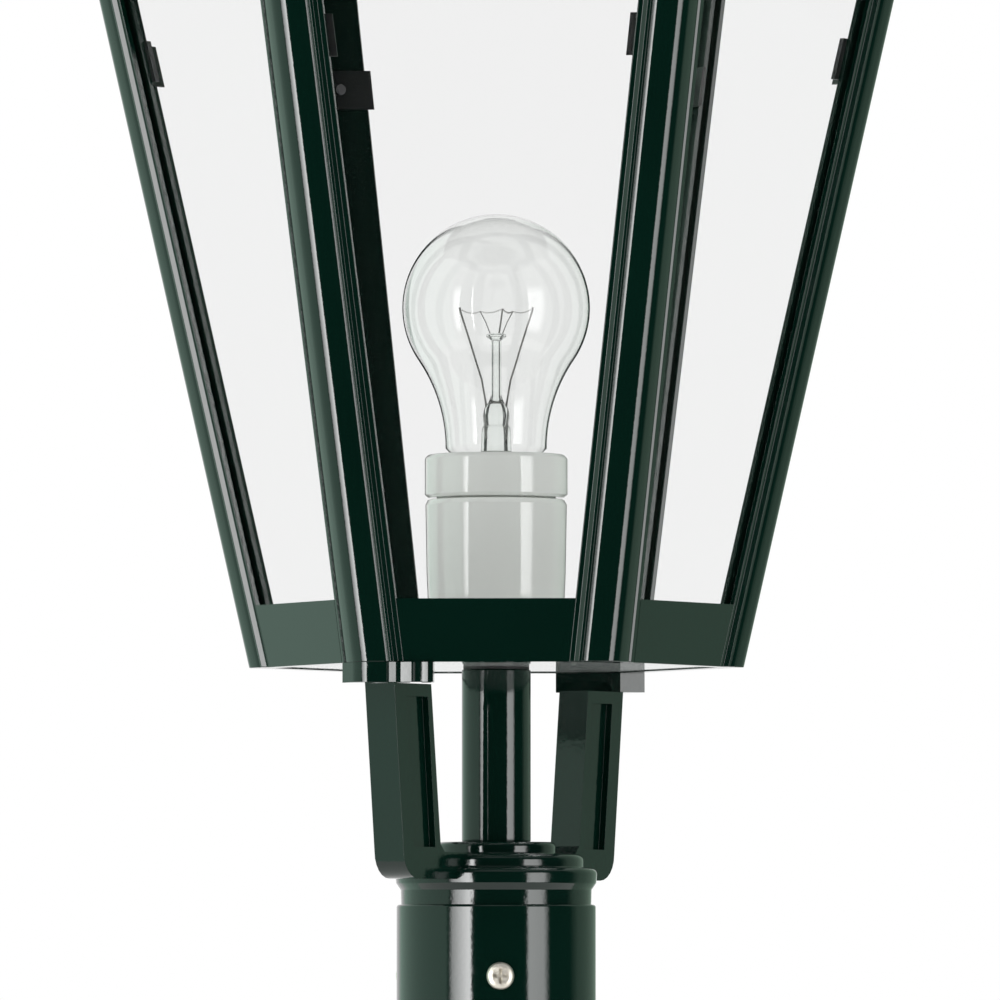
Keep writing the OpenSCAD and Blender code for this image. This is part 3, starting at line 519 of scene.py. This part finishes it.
SLOPE, ROOF_TOP = 276.3, 350.3                  # foot and top of the slope, above the underside
softened("roof", PAINT, "roof", 0.9)
hips = []
for i in range(6):
    foot, neck = 126 / C30, 34 / C30
    run = [(foot - 1.2, 0, SLOPE + 0.6), (foot - 6, 0, SLOPE + 4.6), (neck + 3, 0, ROOF_TOP - 2.4),
           (neck - 1.5, 0, ROOF_TOP - 0.4)]
    m = tube_along(run, 2.6, 20)
    m.transform(UP @ Matrix.Scale(MM, 4) @ spin(60 * i))
    hips.append(m)
finish_piece("roof_hip_beads", joined(hips), PAINT, "roof", smooth=60)
CAP_Z, FINIAL = ROOF_TOP + 24, ROOF_TOP + 45
softened("vent_collar", PAINT, "roof", 0.5)
dome = [(14 + 34 * math.cos(math.radians(t)), 3 + 17 * math.sin(math.radians(t))) for t in range(6, 87, 5)]
turned("vent_hood", [(6, 21), (6, 3), (22, 3), (22, 0), (48, 0), (48, 3)] + dome + [(14, 21)],
       PAINT, "roof", ["vent_cap"],
       [0.4, 0.3, 0.3, 0.3, 1.3, 1.3] + [0] * len(dome) + [0.5], segs=128, z0=LANTERN + CAP_Z * MM)
ball = [(15 * math.cos(math.radians(t)), 39 + 15 * math.sin(math.radians(t))) for t in range(-60, 61, 6)]
finial = ([(0, -18), (5.9, -18), (5.9, 0), (13, 0), (13, 4), (8, 8), (6, 16), (9, 20), (9, 23), (6, 25)] + ball +
          [(6, 55), (4, 62), (5.5, 66), (4, 72), (1.5, 86), (0, 104.4)])
finial_radii = ([0, 0.4, 0.3, 1.4, 1.6, 3, 5, 1.4, 1.4, 1.2, 0.6] + [0] * (len(ball) - 2) +
                [0.6, 1.5, 3, 1.2, 3, 8, 0])
turned("finial_turned", finial, PAINT, "roof", ["finial"], finial_radii, segs=96,
       closed=False, z0=LANTERN + FINIAL * MM)
softened("roof_hinge_lower", CAST, "post", 0.4)
softened("roof_hinge_upper", CAST, "roof", 0.4)
softened("roof_screw", BRASS, "roof_screw", 0.35)

# Base -----------------------------------------------------------------------------------------------------

softened("base_casting", CAST, "post", 1.0, limit=50)
softened("base_door", CAST, "base_door", 0.7, limit=50)
for name, material, body, slot, bevel in (
        ("terminal_block", PALE, "post", "pale_plastic", 0.5), ("fuse_base", BLACK, "post", "black_plastic", 0.6),
        ("fuse_carrier", PALE, "fuse_carrier", "pale_plastic", 0.8), ("terminal_board", BOARD, "post", "board", 0.3),
        ("door_lock", STEEL, "door_lock", "stainless", 0.3)):
    softened(name, material, body, bevel)

# CAD nodes that keep their shape --------------------------------------------------------------------------

KEPT = {
    "door_hinge_pins": STEEL, "board_screws": STEEL, "earth_stud": BRASS, "tube_screws": DARK_STEEL,
    "arm_screws": STEEL, "pad_screws": STEEL, "stem_nipple": STEEL, "nipple_nuts": BRASS, "stem_washers": RUBBER,
    "lamp_cable": SHEATH, "bottom_pane": PALE_GLASS, "glazing_strips": STRIP, "glazing_clips": BLACK,
    "glazing_screws": DARK_STEEL, "frame_screws": STEEL, "roof_hinge_pin": STEEL, "lampholder_shell": BRASS,
    "lampholder_contact": BRASS, "bulb_contact": CAP, **{f"glass_pane_{k}": PANE for k in range(1, 7)},
}
for name, material in KEPT.items():
    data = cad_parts[name].data
    data.materials.clear()
    data.materials.append(material)

# Studio ---------------------------------------------------------------------------------------------------

FLOOR_R, FLOOR_SIDES = 2.4, 96
floor_outline = [FLOOR_R * Vector((math.cos(t), math.sin(t)))
                 for t in [2 * math.pi * k / FLOOR_SIDES for k in range(FLOOR_SIDES)]]
floor_mesh = loft(floor_outline, [lambda p: (p.x, p.y, -0.02), lambda p: (p.x, p.y, 0.0)])
floor_mesh.materials.append(FLOOR)
floor = bpy.data.objects.new("floor", floor_mesh)
scene.collection.objects.link(floor)


def studio_world():
    """Plain directions in space: white for camera rays and rays through glass, a dark front with two upright
    softboxes for glossy rays, and an even soft white for all others."""
    world = bpy.data.worlds.new("studio")
    world.use_nodes = True
    nt = world.node_tree
    nt.nodes.clear()
    co = node(nt, "ShaderNodeTexCoord").outputs["Generated"]
    xyz = node(nt, "ShaderNodeSeparateXYZ", [("Vector", co)])
    back = node(nt, "ShaderNodeMath", operation="MULTIPLY")
    nt.links.new(xyz.outputs["Y"], back.inputs[0])
    back.inputs[1].default_value = -1
    turn = node(nt, "ShaderNodeMath", operation="ARCTAN2")
    nt.links.new(xyz.outputs["X"], turn.inputs[0])
    nt.links.new(back.outputs[0], turn.inputs[1])
    part = node(nt, "ShaderNodeMath", operation="MULTIPLY_ADD")
    nt.links.new(turn.outputs[0], part.inputs[0])
    part.inputs[1].default_value = 1 / (2 * math.pi)
    part.inputs[2].default_value = 0.5

    def at(stops):
        return [((b + 180) / 360, v) for b, v in stops]

    pale, dim = (0.72, 0.98, 0.84), (0.32, 0.44, 0.35)
    around = part.outputs[0]
    room = ramp(nt, around, at([(-180, 1.0), (-152, 1.0), (-142, pale), (-58, pale), (-54, 0.02), (-20, 0.010),
                                (38, 0.010), (98, 0.02), (112, dim), (140, dim), (168, dim), (176, 1.0),
                                (180, 1.0)]))
    boxes = ramp(nt, around, at([(-180, 0), (-54, 0), (-50, 0.35), (-29, 1.0), (-27, 1.0), (-26, 0.0),
                                 (38, 0.0), (41, 0.42), (60, 0.36), (67, 0.0), (180, 0)]))
    lift = node(nt, "ShaderNodeMath", [(0, xyz.outputs["Z"])], operation="MULTIPLY_ADD")
    lift.inputs[1].default_value, lift.inputs[2].default_value = 0.5, 0.5
    # Height runs from 0 straight down to 1 straight up
    window = ramp(nt, lift.outputs[0], [(0.24, 0.0), (0.30, 1.0), (0.62, 1.0), (0.70, 0.0)])
    above = ramp(nt, lift.outputs[0], [(0.78, 0.0), (0.93, 1.0)])
    bg_room = node(nt, "ShaderNodeBackground", [("Color", room)], Strength=1.0)
    box_colour = node(nt, "ShaderNodeMix", data_type="RGBA", blend_type="MULTIPLY")
    box_colour.inputs["Factor"].default_value = 1
    nt.links.new(boxes, box_colour.inputs[6])
    nt.links.new(window, box_colour.inputs[7])
    bg_box = node(nt, "ShaderNodeBackground", [("Color", box_colour.outputs[2])], Strength=15.0)
    both = nt.nodes.new("ShaderNodeAddShader")
    nt.links.new(bg_room.outputs[0], both.inputs[0])
    nt.links.new(bg_box.outputs[0], both.inputs[1])
    sky = node(nt, "ShaderNodeBackground", Color=(0.85, 0.87, 0.88, 1), Strength=1.0)
    mixed = node(nt, "ShaderNodeMixShader", [(0, above)])
    nt.links.new(both.outputs[0], mixed.inputs[1])
    nt.links.new(sky.outputs[0], mixed.inputs[2])
    ray = node(nt, "ShaderNodeLightPath")
    even = ramp(nt, around, at([(-180, 1.0), (-60, 0.95), (0, 0.78), (60, 0.88), (180, 1.0)]))
    soft = node(nt, "ShaderNodeBackground", [("Color", even)], Strength=1.3)
    lit = node(nt, "ShaderNodeMixShader", [(0, ray.outputs["Is Glossy Ray"])])
    nt.links.new(soft.outputs[0], lit.inputs[1])
    nt.links.new(mixed.outputs[0], lit.inputs[2])
    white = node(nt, "ShaderNodeBackground", Color=(1, 1, 1, 1), Strength=1.0)
    through = node(nt, "ShaderNodeMath", [(0, ray.outputs["Is Camera Ray"]), (1, ray.outputs["Is Transmission Ray"])],
                   operation="MAXIMUM")
    seen = node(nt, "ShaderNodeMixShader", [(0, through.outputs[0])])
    nt.links.new(lit.outputs[0], seen.inputs[1])
    nt.links.new(white.outputs[0], seen.inputs[2])
    out = nt.nodes.new("ShaderNodeOutputWorld")
    nt.links.new(seen.outputs[0], out.inputs["Surface"])
    scene.world = world


studio_world()
lamp = bpy.data.lights.new("top_softbox", "AREA")
lamp.shape, lamp.size, lamp.size_y, lamp.energy = "RECTANGLE", 2.0, 2.0, 40
top = bpy.data.objects.new("top_softbox", lamp)
top.location = (0.5, 0.4, 4.4)
top.rotation_euler = (Vector((0, 0, 1.2)) - top.location).to_track_quat("-Z", "Y").to_euler()
top.visible_camera = False
scene.collection.objects.link(top)
